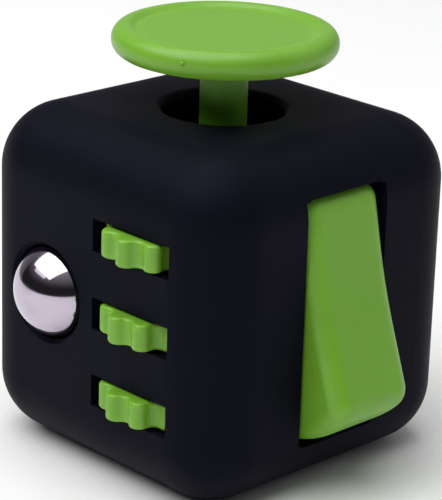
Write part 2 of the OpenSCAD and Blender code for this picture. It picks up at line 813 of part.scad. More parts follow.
module rocker_screws() color(steel) rocker_frame()
    for (side = [-1, 1]) translate([side * rocker_screw_y, -side * rocker_screw_z])
        screw(rocker_pin_depth - wall - rocker_boss_h - plate);

// Click buttons
module button(k) color(green) face_back() translate(button_places[k]) {
    intersection() {
        rod(button_r, button_flange_top - cut, button_proud + 1);
        translate([0, 0, button_proud - button_dome_r]) sphere(button_dome_r);
    }
    rod(button_flange_r, button_flange_top - button_flange_h, button_flange_top);
    rod(button_stem_r, button_stem_end, button_flange_top - button_flange_h + cut);
}

module button_1() button(0);
module button_2() button(1);
module button_3() button(2);
module button_4() button(3);
module button_5() button(4);

module button_springs() color(steel) face_back() for (at = button_places) translate(at) coil(
    button_spring_turns, button_spring_r, fine_wire_r,
    button_plate_top + spring_end_gap, button_flange_top - button_flange_h - spring_end_gap
);

module button_plate() color([0.1, 0.35, 0.2]) face_back() difference() {
    slab(button_plate_top - plate, button_plate_top)
        rounded_square([2 * button_plate_half, 2 * button_plate_half], button_plate_corner_r);
    for (z = [-1, 1]) translate([0, z * button_boss_z])
        rod(screw_r + slide_gap, button_plate_top - plate - 1, button_plate_top + 1);
}

module snap_domes() color(steel) face_back() for (k = [0 : 2]) translate(button_places[k])
    intersection() {
        rod(snap_dome_rim_r, button_plate_top, button_plate_top + 1);
        translate([0, 0, button_plate_top + dome_h - snap_dome_r]) sphere(snap_dome_r, $fn = 240);
    }

module quiet_pads() color([0.15, 0.15, 0.16]) face_back() for (k = [3, 4]) translate(button_places[k])
    rod(quiet_pad_r, button_plate_top, button_plate_top + dome_h);

module button_screws() color(steel) face_back() for (z = [-1, 1])
    translate([0, z * button_boss_z]) screw(button_plate_top - plate);

// Spin dial
module spin_dial() color(green) face_left() difference() {
    union() {
        rod(dial_r, dial_back, dial_proud);
        rod(dial_shaft_r, bush_end - slide_gap - clip_h - shaft_tail, dial_back + cut);
    }
    for (k = [0 : dial_notches - 1]) rotate(360 * k / dial_notches)
        translate([dial_r + dial_notch_out, 0]) rod(dial_notch_r, dial_notch_foot, dial_proud + 1);
    translate([0, dial_dimple_at, dial_proud + dial_dimple_rise])
        sphere(norm([dial_dimple_r, dial_dimple_rise]));
    ring(dial_shaft_r + 1, clip_groove_r, bush_end - slide_gap - clip_h, bush_end - slide_gap);
}

module dial_bush() color(brass) face_left()
    ring(bush_r, dial_shaft_r + slide_gap, bush_end, -dial_recess_depth);

module dial_clip() color(steel) face_left() difference() {
    ring(clip_r, clip_groove_r, bush_end - slide_gap - clip_h + clip_gap, bush_end - slide_gap - clip_gap);
    translate([-clip_slot_half_w, 0, bush_end - 2]) cube([2 * clip_slot_half_w, clip_r + 1, 3]);
}

front_shell();
rear_shell();
case_pins();
thumb_disc();
glide_gimbal();
glide_cross_pin();
glide_cradle();
glide_spring();
glide_screws();
gear_upper();
gear_middle();
gear_lower();
gear_axle();
gear_bracket();
gear_screws();
roller_ball();
ball_cup();
ball_plunger();
ball_spring();
ball_guide();
ball_screws();
rocker();
rocker_pin();
rocker_bracket();
detent_plunger();
detent_spring();
rocker_screws();
button_1();
button_2();
button_3();
button_4();
button_5();
button_springs();
button_plate();
snap_domes();
quiet_pads();
button_screws();
spin_dial();
dial_bush();
dial_clip();
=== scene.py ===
"""The looks of a fidget cube, laid over its packed mechanical model."""

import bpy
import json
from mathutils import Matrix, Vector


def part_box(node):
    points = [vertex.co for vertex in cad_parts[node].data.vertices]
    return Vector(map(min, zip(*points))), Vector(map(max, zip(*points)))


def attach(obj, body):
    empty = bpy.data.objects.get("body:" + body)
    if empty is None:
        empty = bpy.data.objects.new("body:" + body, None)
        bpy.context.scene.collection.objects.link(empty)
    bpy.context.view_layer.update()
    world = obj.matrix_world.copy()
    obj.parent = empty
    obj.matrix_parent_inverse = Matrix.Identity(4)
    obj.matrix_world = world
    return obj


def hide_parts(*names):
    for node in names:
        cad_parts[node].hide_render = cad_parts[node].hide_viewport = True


bl_info = {
    "name": "Fidget Cube",
    "version": (1, 0, 0),
    "blender": (4, 5, 0),
    "location": "View3D > Sidebar > Fidget Cube",
    "description": "Builds the visible pieces, finishes and studio of a fidget cube round its mechanical model",
    "category": "Object",
}

import json
import math

import bmesh
import bpy
import numpy as np
from bpy.props import FloatProperty, FloatVectorProperty, IntProperty, PointerProperty
from mathutils import Matrix, Vector

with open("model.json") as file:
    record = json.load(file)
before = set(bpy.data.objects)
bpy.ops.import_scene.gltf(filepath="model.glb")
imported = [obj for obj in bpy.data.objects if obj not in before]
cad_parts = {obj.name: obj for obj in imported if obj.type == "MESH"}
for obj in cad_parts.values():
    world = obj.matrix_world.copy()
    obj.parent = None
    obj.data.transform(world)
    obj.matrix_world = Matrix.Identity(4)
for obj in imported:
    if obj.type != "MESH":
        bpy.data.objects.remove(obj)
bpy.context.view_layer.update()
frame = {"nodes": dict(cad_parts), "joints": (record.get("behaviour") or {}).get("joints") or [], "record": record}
JOINTS = {joint["name"]: joint for joint in frame["joints"]}

MM = 0.001
MERGE_DISTANCE = 1e-7
TURN = 2 * math.pi
FINISH = "_finish"  # ends the name of each new material, which keeps it apart from the mechanical ones


# Places taken from the mechanical model

def node_box(*names):
    """Lowest and highest corners of one or more mechanical nodes, as arrays."""
    boxes = [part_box(name) for name in names]
    return (
        np.min([np.array(low) for low, _ in boxes], axis=0),
        np.max([np.array(high) for _, high in boxes], axis=0),
    )


def joint_place(name):
    """A joint's point, as an array."""
    return np.array(JOINTS[name]["pos_m"], float)


CASE_LOW, CASE_HIGH = node_box("front_shell", "rear_shell")
CASE_HALF = (CASE_HIGH[2] - CASE_LOW[2]) / 2
CASE_MIDDLE = np.array([0.0, 0.0, CASE_LOW[2] + CASE_HALF])

# Each face of the cube as its across, up and outward directions
FACES = {
    "top": ((1, 0, 0), (0, 1, 0), (0, 0, 1)),
    "front": ((1, 0, 0), (0, 0, 1), (0, -1, 0)),
    "right": ((0, 1, 0), (0, 0, 1), (1, 0, 0)),
    "back": ((-1, 0, 0), (0, 0, 1), (0, 1, 0)),
    "left": ((0, -1, 0), (0, 0, 1), (-1, 0, 0)),
}


def on_face(face, points):
    """Moves points given as (across, up, out) of a face's middle to their places on the cube."""
    axes = np.array(FACES[face], float)
    return CASE_MIDDLE + axes[2] * CASE_HALF + points @ axes


# Surfaces

def arc(centre, radius, start, end, steps):
    """Points of a circle arc between two angles in degrees, both ends included."""
    angle = np.radians(np.linspace(start, end, steps + 1))
    return np.stack([centre[0] + radius * np.cos(angle), centre[1] + radius * np.sin(angle)], -1)


def rounded_path(corners, steps=7, reach=0.45 * MM):
    """Joins corners given as (x, y, radius) with straight runs and tangent arcs.

    At each corner the arc starts radius / tan(half the corner's angle) before it. Each straight run
    gets evenly spaced points no further apart than reach, so that its shading stays flat.
    """
    corners = np.array(corners, float)
    path = [corners[0, :2]]
    for before, corner, after in zip(corners[:-2], corners[1:-1], corners[2:]):
        here = corner[:2]
        back = (before[:2] - here) / np.linalg.norm(before[:2] - here)
        ahead = (after[:2] - here) / np.linalg.norm(after[:2] - here)
        half_angle = math.acos(float(np.clip(back @ ahead, -1, 1))) / 2
        if corner[2] <= 0:
            path.append(here)
            continue
        start = here + back * corner[2] / math.tan(half_angle)
        middle = (back + ahead) / np.linalg.norm(back + ahead)
        centre = here + middle * corner[2] / math.sin(half_angle)
        first = start - centre
        sweep = math.pi - 2 * half_angle
        side = math.copysign(1.0, back[1] * ahead[0] - back[0] * ahead[1])
        for angle in np.linspace(0, sweep * side, steps + 1):
            c, s = math.cos(angle), math.sin(angle)
            path.append(centre + np.array([c * first[0] - s * first[1], s * first[0] + c * first[1]]))
    path.append(corners[-1, :2])
    dense = [path[0]]
    for a, b in zip(path[:-1], path[1:]):
        count = max(1, math.ceil(np.linalg.norm(b - a) / reach))
        dense += [a + (b - a) * k / count for k in range(1, count + 1)]
    return np.array(dense)


def lathe(profile, segments):
    """Carries a profile of (radius, height) round an axis: x = r cos a, y = r sin a, z = height."""
    angle = np.arange(segments) * TURN / segments
    radius, height = profile[:, 0, None], profile[:, 1, None]
    return np.stack(
        [radius * np.cos(angle), radius * np.sin(angle), height + 0 * angle], -1
    )


def ball(radius, rows, columns):
    """A ball as a half circle carried round the upright axis."""
    profile = arc((0, 0), radius, -90, 90, rows)
    profile[[0, -1], 0] = 0
    return lathe(profile, columns)


def sharpness(profile):
    """How near each point of a profile is to a corner, from 0 on a flat to 1 on the corner.

    It is the rate of turn, averaged over a spread of 0.4 mm with a bell-shaped weight.
    """
    spread, gain = 0.4 * MM, 1.5
    step = np.diff(profile, axis=0)
    length = np.maximum(np.linalg.norm(step, axis=1), 1e-9)
    heading = np.unwrap(np.arctan2(step[:, 1], step[:, 0]))
    turn = np.zeros(len(profile))
    turn[1:-1] = np.abs(np.diff(heading)) / ((length[1:] + length[:-1]) / 2)
    along = np.concatenate([[0], np.cumsum(length)])
    near = np.exp(-(((along[:, None] - along[None, :]) / spread) ** 2))
    smooth = (near * turn[None, :]).sum(1) / near.sum(1)
    return np.clip(smooth * spread * gain, 0, 1)


def surface(name, grids, wear=None):
    """Makes one closed mesh from grids of points.

    grids holds (points, wrap_rows, wrap_columns): points is a (rows, columns, 3) array, and
    neighbours are joined by quads, round the end where a direction wraps. wear gives each grid's
    edge wear per row, or per point.
    """
    vertices, quads, marks = [], [], []
    offset = 0
    for k, (points, wrap_rows, wrap_columns) in enumerate(grids):
        rows, columns = points.shape[:2]
        index = np.arange(rows * columns).reshape(rows, columns) + offset
        offset += rows * columns
        if wrap_rows:
            index = np.vstack([index, index[:1]])
        if wrap_columns:
            index = np.hstack([index, index[:, :1]])
        quads.append(
            np.stack([index[:-1, :-1], index[1:, :-1], index[1:, 1:], index[:-1, 1:]], -1).reshape(-1, 4)
        )
        vertices.append(points.reshape(-1, 3))
        mark = np.zeros((rows, columns)) if wear is None else np.broadcast_to(
            wear[k][:, None] if np.ndim(wear[k]) == 1 else wear[k], (rows, columns)
        )
        marks.append(mark.reshape(-1))
    mesh = bpy.data.meshes.new(name)
    mesh.from_pydata(np.concatenate(vertices).tolist(), [], np.concatenate(quads).tolist())
    attribute = mesh.attributes.new("edge_wear", "FLOAT", "POINT")
    attribute.data.foreach_set("value", np.concatenate(marks).astype(np.float32))
    shape = bmesh.new()
    shape.from_mesh(mesh)
    bmesh.ops.remove_doubles(shape, verts=shape.verts, dist=MERGE_DISTANCE)
    bmesh.ops.dissolve_degenerate(shape, edges=shape.edges, dist=MERGE_DISTANCE)
    bmesh.ops.recalc_face_normals(shape, faces=shape.faces)
    shape.to_mesh(mesh)
    shape.free()
    mesh.polygons.foreach_set("use_smooth", np.ones(len(mesh.polygons), bool))
    mesh.update()
    piece = bpy.data.objects.new(name, mesh)
    bpy.context.scene.collection.objects.link(piece)
    return piece


def finish_piece(piece, name, slot):
    """Gives a piece its slot's finish and the body of the node it stands for, which share a name."""
    piece.data.materials.append(bpy.data.materials[slot + FINISH])
    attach(piece, name)
    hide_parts(name)


# Shader nodes

def node(tree, kind, values=None, **settings):
    """Adds a node, sets its settings, and links or sets its inputs."""
    made = tree.nodes.new(kind)
    for key, value in settings.items():
        setattr(made, key, value)
    for key, value in (values or {}).items():
        if isinstance(value, bpy.types.NodeSocket):
            tree.links.new(value, made.inputs[key])
        else:
            made.inputs[key].default_value = value
    return made


def maths(tree, operation, first, second=0.0, third=0.0, clamp=False):
    """The output of a Math node."""
    made = node(tree, "ShaderNodeMath", {0: first, 1: second, 2: third}, operation=operation)
    made.use_clamp = clamp
    return made.outputs[0]


def remap(tree, value, low, high, out_low=0.0, out_high=1.0):
    """The output of a Map Range node that fades between two limits."""
    made = node(
        tree, "ShaderNodeMapRange",
        {"Value": value, "From Min": low, "From Max": high, "To Min": out_low, "To Max": out_high},
        interpolation_type="SMOOTHSTEP",
    )
    return made.outputs["Result"]


def mix_colour(tree, factor, first, second):
    """The output of a Mix node set to colours, whose colour sockets are inputs 6 and 7 and output 2."""
    return node(tree, "ShaderNodeMix", {0: factor, 6: first, 7: second}, data_type="RGBA").outputs[2]


def noise(tree, vector, scale, detail, roughness):
    """The value output of a Noise Texture node."""
    made = node(
        tree, "ShaderNodeTexNoise",
        {"Vector": vector, "Scale": scale, "Detail": detail, "Roughness": roughness},
    )
    return made.outputs["Fac"]


def new_group(name, inputs, outputs):
    """A shader node group with named sockets, and its input and output nodes."""
    tree = bpy.data.node_groups.new(name, "ShaderNodeTree")
    for label, kind, default in inputs:
        socket = tree.interface.new_socket(label, in_out="INPUT", socket_type=kind)
        if default is not None:
            socket.default_value = default
    for label, kind in outputs:
        tree.interface.new_socket(label, in_out="OUTPUT", socket_type=kind)
    return tree, tree.nodes.new("NodeGroupInput").outputs, tree.nodes.new("NodeGroupOutput").inputs


def mould_grain_group():
    """Spark-eroded mould texture: fine pits over a soft waviness, with a slow change in tone."""
    tree, given, result = new_group(
        "mould_grain",
        [("Vector", "NodeSocketVector", None)],
        [("Height", "NodeSocketFloat"), ("Tone", "NodeSocketFloat"), ("Speckle", "NodeSocketFloat")],
    )
    pits = noise(tree, given["Vector"], 5200.0, 2.0, 0.6)
    waves = noise(tree, given["Vector"], 420.0, 2.0, 0.5)
    tree.links.new(maths(tree, "MULTIPLY_ADD", waves, 0.35, pits), result["Height"])
    tree.links.new(noise(tree, given["Vector"], 95.0, 3.0, 0.5), result["Tone"])
    tree.links.new(remap(tree, pits, 0.58, 0.74), result["Speckle"])
    return tree


def edge_wear_group():
    """Rubbed edges: the edge mask broken up by two sizes of noise."""
    tree, given, result = new_group(
        "edge_wear",
        [
            ("Vector", "NodeSocketVector", None), ("Edge", "NodeSocketFloat", 0.0),
            ("Amount", "NodeSocketFloat", 0.5),
        ],
        [("Mask", "NodeSocketFloat")],
    )
    coarse = noise(tree, given["Vector"], 260.0, 3.0, 0.6)
    fine = noise(tree, given["Vector"], 1900.0, 2.0, 0.6)
    broken = maths(tree, "MULTIPLY_ADD", fine, 0.4, maths(tree, "MULTIPLY", coarse, 0.9))
    rubbed = maths(tree, "MULTIPLY", given["Edge"], remap(tree, broken, 0.42, 0.78))
    tree.links.new(maths(tree, "MULTIPLY", rubbed, given["Amount"], clamp=True), result["Mask"])
    return tree


def hairline_group():
    """Handling scratches: thin ridges of noise stretched along two directions."""
    tree, given, result = new_group(
        "hairlines",
        [("Vector", "NodeSocketVector", None), ("Scale", "NodeSocketFloat", 900.0)],
        [("Mask", "NodeSocketFloat")],
    )
    stretch, line_width = (1.0, 0.06, 1.0), 0.012
    masks = []
    for turn in ((0.4, 0.2, 0.9), (1.3, 0.7, -0.5)):
        turned = node(
            tree, "ShaderNodeMapping", {"Vector": given["Vector"], "Rotation": turn, "Scale": stretch}
        ).outputs["Vector"]
        value = noise(tree, turned, given["Scale"], 1.0, 0.4)
        distance = maths(tree, "ABSOLUTE", maths(tree, "SUBTRACT", value, 0.5))
        masks.append(remap(tree, distance, 0.0, line_width, 1.0, 0.0))
    patches = remap(tree, noise(tree, given["Vector"], 180.0, 2.0, 0.5), 0.52, 0.68)
    both = maths(tree, "MAXIMUM", *masks)
    tree.links.new(maths(tree, "MULTIPLY", both, patches), result["Mask"])
    return tree


def group_node(tree, name, values):
    """Places a shared group in a material."""
    return node(tree, "ShaderNodeGroup", values, node_tree=bpy.data.node_groups[name]).outputs


def new_material(name):
    """An empty material with a Principled shader: (material, tree, shader, object coordinates)."""
    material = bpy.data.materials.new(name + FINISH)
    material.use_nodes = True
    tree = material.node_tree
    tree.nodes.clear()
    shader = node(tree, "ShaderNodeBsdfPrincipled")
    node(tree, "ShaderNodeOutputMaterial", {"Surface": shader.outputs["BSDF"]})
    place = node(tree, "ShaderNodeTexCoord").outputs["Object"]
    return material, tree, shader, place


def feed(tree, shader, **values):
    """Links or sets the shader's inputs; underscores stand for spaces."""
    for key, value in values.items():
        socket = shader.inputs[key.replace("_", " ").title() if key != "ior" else "IOR"]
        if isinstance(value, bpy.types.NodeSocket):
            tree.links.new(value, socket)
        else:
            socket.default_value = value


def bump(tree, height, distance, strength=1.0):
    """The normal of a Bump node."""
    made = node(tree, "ShaderNodeBump", {"Height": height, "Strength": strength, "Distance": distance})
    return made.outputs["Normal"]


def shade(colour, factor):
    """A colour made lighter or darker, with full alpha."""
    return (*(min(1.0, c * factor) for c in colour[:3]), 1.0)


def moulded_plastic(name, colour, roughness, grain, wear, edge=None, speckle=0.06):
    """Moulded plastic: mould grain, a slow change of tone, rubbed edges and handling hairlines.

    grain is the depth of the mould grain, wear and speckle are amounts from 0 to 1, and edge makes
    the mask of the edges where the mesh has no edge_wear attribute.
    """
    tone_spread, fleck_gain, worn_gain = 0.07, 1.6, 1.35
    tone_polish, worn_polish, line_polish, line_depth = 0.10, -0.12, 0.10, -0.35
    material, tree, shader, place = new_material(name)
    texture = group_node(tree, "mould_grain", {"Vector": place})
    lines = group_node(tree, "hairlines", {"Vector": place})["Mask"]
    if edge:
        mask = edge(tree, place)
    else:
        mask = node(tree, "ShaderNodeAttribute", attribute_name="edge_wear").outputs["Fac"]
    rubbed = group_node(tree, "edge_wear", {"Vector": place, "Edge": mask, "Amount": wear})["Mask"]
    toned = mix_colour(tree, texture["Tone"], shade(colour, 1 - tone_spread), shade(colour, 1 + tone_spread))
    flecks = maths(tree, "MULTIPLY", texture["Speckle"], speckle)
    flecked = mix_colour(tree, flecks, toned, shade(colour, fleck_gain))
    worn = mix_colour(tree, rubbed, flecked, shade(colour, worn_gain))
    polish = maths(tree, "MULTIPLY_ADD", texture["Tone"], tone_polish, roughness - tone_polish / 2)
    polish = maths(tree, "MULTIPLY_ADD", rubbed, worn_polish, polish)
    polish = maths(tree, "MULTIPLY_ADD", lines, line_polish, polish, clamp=True)
    height = maths(tree, "MULTIPLY_ADD", lines, line_depth, texture["Height"])
    feed(tree, shader, base_color=worn, roughness=polish, normal=bump(tree, height, grain))
    return material, shader


def case_edge(tree, place):
    """How far a point is round one of the cube's edges: 0 on a flat face, 1 on the ridge."""
    centred = node(tree, "ShaderNodeVectorMath", {0: place, 1: tuple(CASE_MIDDLE)}, operation="SUBTRACT")
    size = node(tree, "ShaderNodeVectorMath", {0: centred.outputs[0]}, operation="ABSOLUTE")
    flat = CASE_HALF - bpy.context.scene.cube_case.edge_radius
    past = node(
        tree, "ShaderNodeVectorMath", {0: size.outputs[0], 1: (flat, flat, flat)}, operation="SUBTRACT"
    )
    apart = node(tree, "ShaderNodeSeparateXYZ", {"Vector": past.outputs[0]}).outputs
    parts = [maths(tree, "MAXIMUM", apart[k], 0.0) for k in range(3)]
    pairs = [maths(tree, "MULTIPLY", parts[a], parts[b]) for a, b in ((0, 1), (1, 2), (0, 2))]
    total = maths(tree, "ADD", maths(tree, "ADD", pairs[0], pairs[1]), pairs[2])
    ridge = bpy.context.scene.cube_case.edge_radius ** 2 / 2
    wear_start = 0.45 * ridge
    return remap(tree, total, wear_start, ridge)


def case_material():
    """Near-black satin plastic with a blue cast."""
    colour = bpy.context.scene.cube_case.colour
    material, shader = moulded_plastic("case_plastic", colour, 0.56, 0.010 * MM, 0.35, case_edge, 0.04)
    shader.inputs["Specular IOR Level"].default_value = 0.06
    shader.inputs["Specular Tint"].default_value = (0.62, 0.66, 1.0, 1.0)
    return material


def green_material():
    """Lime green satin plastic, a little see-through at its edges."""
    colour = bpy.context.scene.cube_case.accent
    material, shader = moulded_plastic("green_plastic", colour, 0.36, 0.006 * MM, 0.3)
    shader.inputs["Specular IOR Level"].default_value = 0.45
    shader.inputs["Subsurface Weight"].default_value = 0.12
    shader.inputs["Subsurface Radius"].default_value = (0.9, 1.0, 0.35)
    shader.inputs["Subsurface Scale"].default_value = 1.2 * MM
    return material


def chrome_material():
    """Polished chrome with finger smudges and hairlines."""
    material, tree, shader, place = new_material("chrome_ball")
    smudge = remap(tree, noise(tree, place, 420.0, 4.0, 0.6), 0.48, 0.72)
    lines = group_node(tree, "hairlines", {"Vector": place, "Scale": 700.0})["Mask"]
    polish = maths(tree, "MULTIPLY_ADD", smudge, 0.06, 0.09)
    polish = maths(tree, "MULTIPLY_ADD", lines, 0.06, polish)
    tint = mix_colour(tree, smudge, (0.53, 0.47, 0.56, 1.0), (0.46, 0.41, 0.49, 1.0))
    feed(
        tree, shader, base_color=tint, metallic=1.0, roughness=polish,
        normal=bump(tree, lines, 0.0008 * MM, 0.6),
    )
    return material


def dull_plastic(name, colour, roughness=0.55):
    """Unpainted inner plastic with mould grain."""
    material, _ = moulded_plastic(name, colour, roughness, 0.008 * MM, 0.2)
    return material


def drawn_metal(name, colour, roughness, stretch):
    """Drawn or turned metal: streaks along one direction and a few dull patches."""
    material, tree, shader, place = new_material(name)
    along = node(tree, "ShaderNodeMapping", {"Vector": place, "Scale": stretch}).outputs["Vector"]
    streaks = noise(tree, along, 3200.0, 2.0, 0.5)
    patches = remap(tree, noise(tree, place, 600.0, 3.0, 0.55), 0.45, 0.7)
    dulled = 0.8
    tint = mix_colour(tree, patches, shade(colour, 1.0), shade(colour, dulled))
    polish = maths(tree, "MULTIPLY_ADD", streaks, 0.18, roughness - 0.08)
    polish = maths(tree, "MULTIPLY_ADD", patches, 0.08, polish, clamp=True)
    feed(
        tree, shader, base_color=tint, metallic=1.0, roughness=polish,
        normal=bump(tree, streaks, 0.003 * MM, 0.7),
    )
    return material


def board_material():
    """Green-coated glass-fibre board with the cloth's weave showing through."""
    material, tree, shader, place = new_material("board")
    waves = [
        node(
            tree, "ShaderNodeTexWave", {"Vector": place, "Scale": 260.0, "Distortion": 0.4},
            bands_direction=direction,
        ).outputs["Fac"]
        for direction in ("X", "Z")
    ]
    weave = maths(tree, "MAXIMUM", *waves)
    tint = mix_colour(tree, weave, (0.012, 0.06, 0.028, 1.0), (0.02, 0.105, 0.045, 1.0))
    polish = maths(tree, "MULTIPLY_ADD", weave, 0.08, 0.32)
    feed(tree, shader, base_color=tint, roughness=polish, normal=bump(tree, weave, 0.006 * MM, 0.5))
    return material


# Settings

class CubeCaseSettings(bpy.types.PropertyGroup):
    """The case and the two plastics."""

    edge_radius: FloatProperty(
        name="Edge radius", description="Radius of the case's rounded edges",
        default=6.3 * MM, unit="LENGTH",
    )
    colour: FloatVectorProperty(
        name="Case colour", description="Colour of the case plastic", default=(0.0042, 0.0042, 0.0085),
        subtype="COLOR",
    )
    accent: FloatVectorProperty(
        name="Accent colour", description="Colour of the moving pieces", default=(0.172, 0.408, 0.029),
        subtype="COLOR",
    )


class CubeDiscSettings(bpy.types.PropertyGroup):
    """The thumb disc on its stick."""

    recess_radius: FloatProperty(
        name="Recess radius", description="Radius of the shallow recess in the top",
        default=8.5 * MM, unit="LENGTH",
    )
    recess_depth: FloatProperty(
        name="Recess depth", description="Depth of the recess", default=0.35 * MM, unit="LENGTH"
    )
    rim_radius: FloatProperty(
        name="Rim rounding", description="Rounding of the disc's rim", default=1.3 * MM, unit="LENGTH"
    )
    stick_radius: FloatProperty(
        name="Stick radius", description="Radius of the stick", default=2.25 * MM, unit="LENGTH"
    )
    foot: FloatProperty(
        name="Stick foot", description="Height of the stick's lower end",
        default=28.65 * MM, unit="LENGTH",
    )
    thickness: FloatProperty(
        name="Disc thickness", description="Thickness of the disc", default=2.7 * MM, unit="LENGTH"
    )
    tongue_width: FloatProperty(
        name="Tongue width", description="Width of the tongue under the stick",
        default=2.6 * MM, unit="LENGTH",
    )
    tongue_thickness: FloatProperty(
        name="Tongue thickness", description="Thickness of the tongue", default=2.0 * MM, unit="LENGTH"
    )
    nub_radius: FloatProperty(
        name="Gate mark radius", description="Radius of the gate mark on the rim",
        default=0.2 * MM, unit="LENGTH",
    )
    nub_rise: FloatProperty(
        name="Gate mark rise", description="Height of the gate mark above the rim's middle",
        default=0.25 * MM, unit="LENGTH",
    )
    nub_turn: FloatProperty(
        name="Gate mark turn", description="Where the gate mark is round the rim",
        default=math.radians(-65), subtype="ANGLE",
    )


class CubeGearSettings(bpy.types.PropertyGroup):
    """The three lobed gears."""

    lobes: IntProperty(name="Lobes", description="Rounded lobes on each gear", default=10, min=6)
    lobe_radius: FloatProperty(
        name="Lobe radius", description="Radius of one lobe", default=0.9 * MM, unit="LENGTH"
    )
    drop: FloatProperty(
        name="Valley drop", description="Distance from the tips to the valleys",
        default=0.85 * MM, unit="LENGTH",
    )
    bore: FloatProperty(
        name="Bore radius", description="Radius of the bore",
        default=0.85 * MM, unit="LENGTH",
    )
    edge: FloatProperty(
        name="Edge rounding", description="Rounding of the rims",
        default=0.36 * MM, unit="LENGTH",
    )
    turns: FloatVectorProperty(
        name="Turns", description="How far the upper, middle and lower gear are turned",
        default=tuple(math.radians(a) for a in (4, 28, 26)), subtype="EULER",
    )


class CubeRockerSettings(bpy.types.PropertyGroup):
    """The rocker switch."""

    reach: FloatProperty(
        name="Reach", description="Distance from the pin to the front", default=6.5 * MM, unit="LENGTH"
    )
    end_radius: FloatProperty(
        name="End radius", description="Radius of the round ends about the pin",
        default=12.2 * MM, unit="LENGTH",
    )
    nose: FloatProperty(
        name="Nose rounding", description="Rounding where the front meets an end",
        default=2.0 * MM, unit="LENGTH",
    )
    half_width: FloatProperty(
        name="Half width", description="Half of the rocker's width", default=4.85 * MM, unit="LENGTH"
    )
    edge: FloatProperty(
        name="Edge rounding", description="Rounding of its edges", default=1.7 * MM, unit="LENGTH"
    )
    lean: FloatProperty(
        name="Lean", description="Lean from upright at rest", default=math.radians(12), subtype="ANGLE"
    )
    back: FloatProperty(
        name="Back", description="How far the sides reach behind the pin", default=1.0 * MM, unit="LENGTH"
    )
    kick: FloatProperty(
        name="Kick", description="How much further out the lower nose reaches",
        default=1.25 * MM, unit="LENGTH",
    )
    bend: FloatProperty(
        name="Bend", description="Height of the front's bend above the pin",
        default=1.0 * MM, unit="LENGTH",
    )
    softness: FloatProperty(
        name="Softness", description="Half the length of the front's bend",
        default=4.0 * MM, unit="LENGTH",
    )


class CubeButtonSettings(bpy.types.PropertyGroup):
    """The click buttons."""

    radius: FloatProperty(
        name="Radius", description="Radius of a button",
        default=2.95 * MM, unit="LENGTH",
    )
    dome: FloatProperty(
        name="Dome radius", description="Radius of the domed top",
        default=6.0 * MM, unit="LENGTH",
    )
    proud: FloatProperty(
        name="Proud", description="How far a button stands out of its face",
        default=1.1 * MM, unit="LENGTH",
    )


class CubeDialSettings(bpy.types.PropertyGroup):
    """The spin dial."""

    radius: FloatProperty(
        name="Radius", description="Radius of the dial",
        default=9.0 * MM, unit="LENGTH",
    )
    proud: FloatProperty(
        name="Proud", description="How far the dial stands out of its face",
        default=0.9 * MM, unit="LENGTH",
    )
    notches: IntProperty(name="Notches", description="Grip notches round the rim", default=36, min=8)
    dimple_radius: FloatProperty(
        name="Dimple radius", description="Radius of the finger dimple", default=2.6 * MM, unit="LENGTH"
    )
    dimple_place: FloatProperty(
        name="Dimple place", description="Distance of the dimple from the middle",
        default=5.4 * MM, unit="LENGTH",
    )


class CubeStageSettings(bpy.types.PropertyGroup):
    """Camera, floor and light."""

    azimuth: FloatProperty(
        name="Azimuth", description="Camera's turn round the cube",
        default=math.radians(45.638), subtype="ANGLE",
    )
    elevation: FloatProperty(
        name="Elevation", description="Camera's height angle",
        default=math.radians(19.705), subtype="ANGLE",
    )
    roll: FloatProperty(
        name="Roll", description="Camera's roll",
        default=math.radians(1.807), subtype="ANGLE",
    )
    place: FloatVectorProperty(
        name="Camera place", description="Where the camera stands", default=(0.15121, -0.14759, 0.09436),
        subtype="TRANSLATION", precision=5,
    )
    lens: FloatProperty(
        name="Lens", description="Focal length",
        default=169.16, subtype="DISTANCE_CAMERA",
    )
    floor_colour: FloatVectorProperty(
        name="Floor colour", description="Colour of the floor",
        default=(0.95, 0.95, 0.95), subtype="COLOR",
    )


# Pieces

class CUBE_OT_finishes(bpy.types.Operator):
    """Make every finish and give the mechanical nodes theirs"""

    bl_idname = "fidget_cube.finishes"
    bl_label = "Finishes"

    def execute(self, context):
        mould_grain_group()
        edge_wear_group()
        hairline_group()
        made = {
            "case_plastic": case_material(),
            "green_plastic": green_material(),
            "chrome_ball": chrome_material(),
            "dark_plastic": dull_plastic("dark_plastic", (0.018, 0.019, 0.022)),
            "white_plastic": dull_plastic("white_plastic", (0.62, 0.63, 0.6), 0.5),
            "steel": drawn_metal("steel", (0.56, 0.57, 0.6), 0.3, (1.0, 1.0, 0.08)),
            "brass": drawn_metal("brass", (0.72, 0.5, 0.2), 0.28, (0.1, 1.0, 1.0)),
            "board": board_material(),
            "rubber": dull_plastic("rubber", (0.02, 0.02, 0.021), 0.7),
        }
        for part in frame["record"]["subparts"]:
            mesh = frame["nodes"][part["node"]].data
            mesh.materials.clear()
            mesh.materials.append(made[part["material_slot"]])
        return {"FINISHED"}


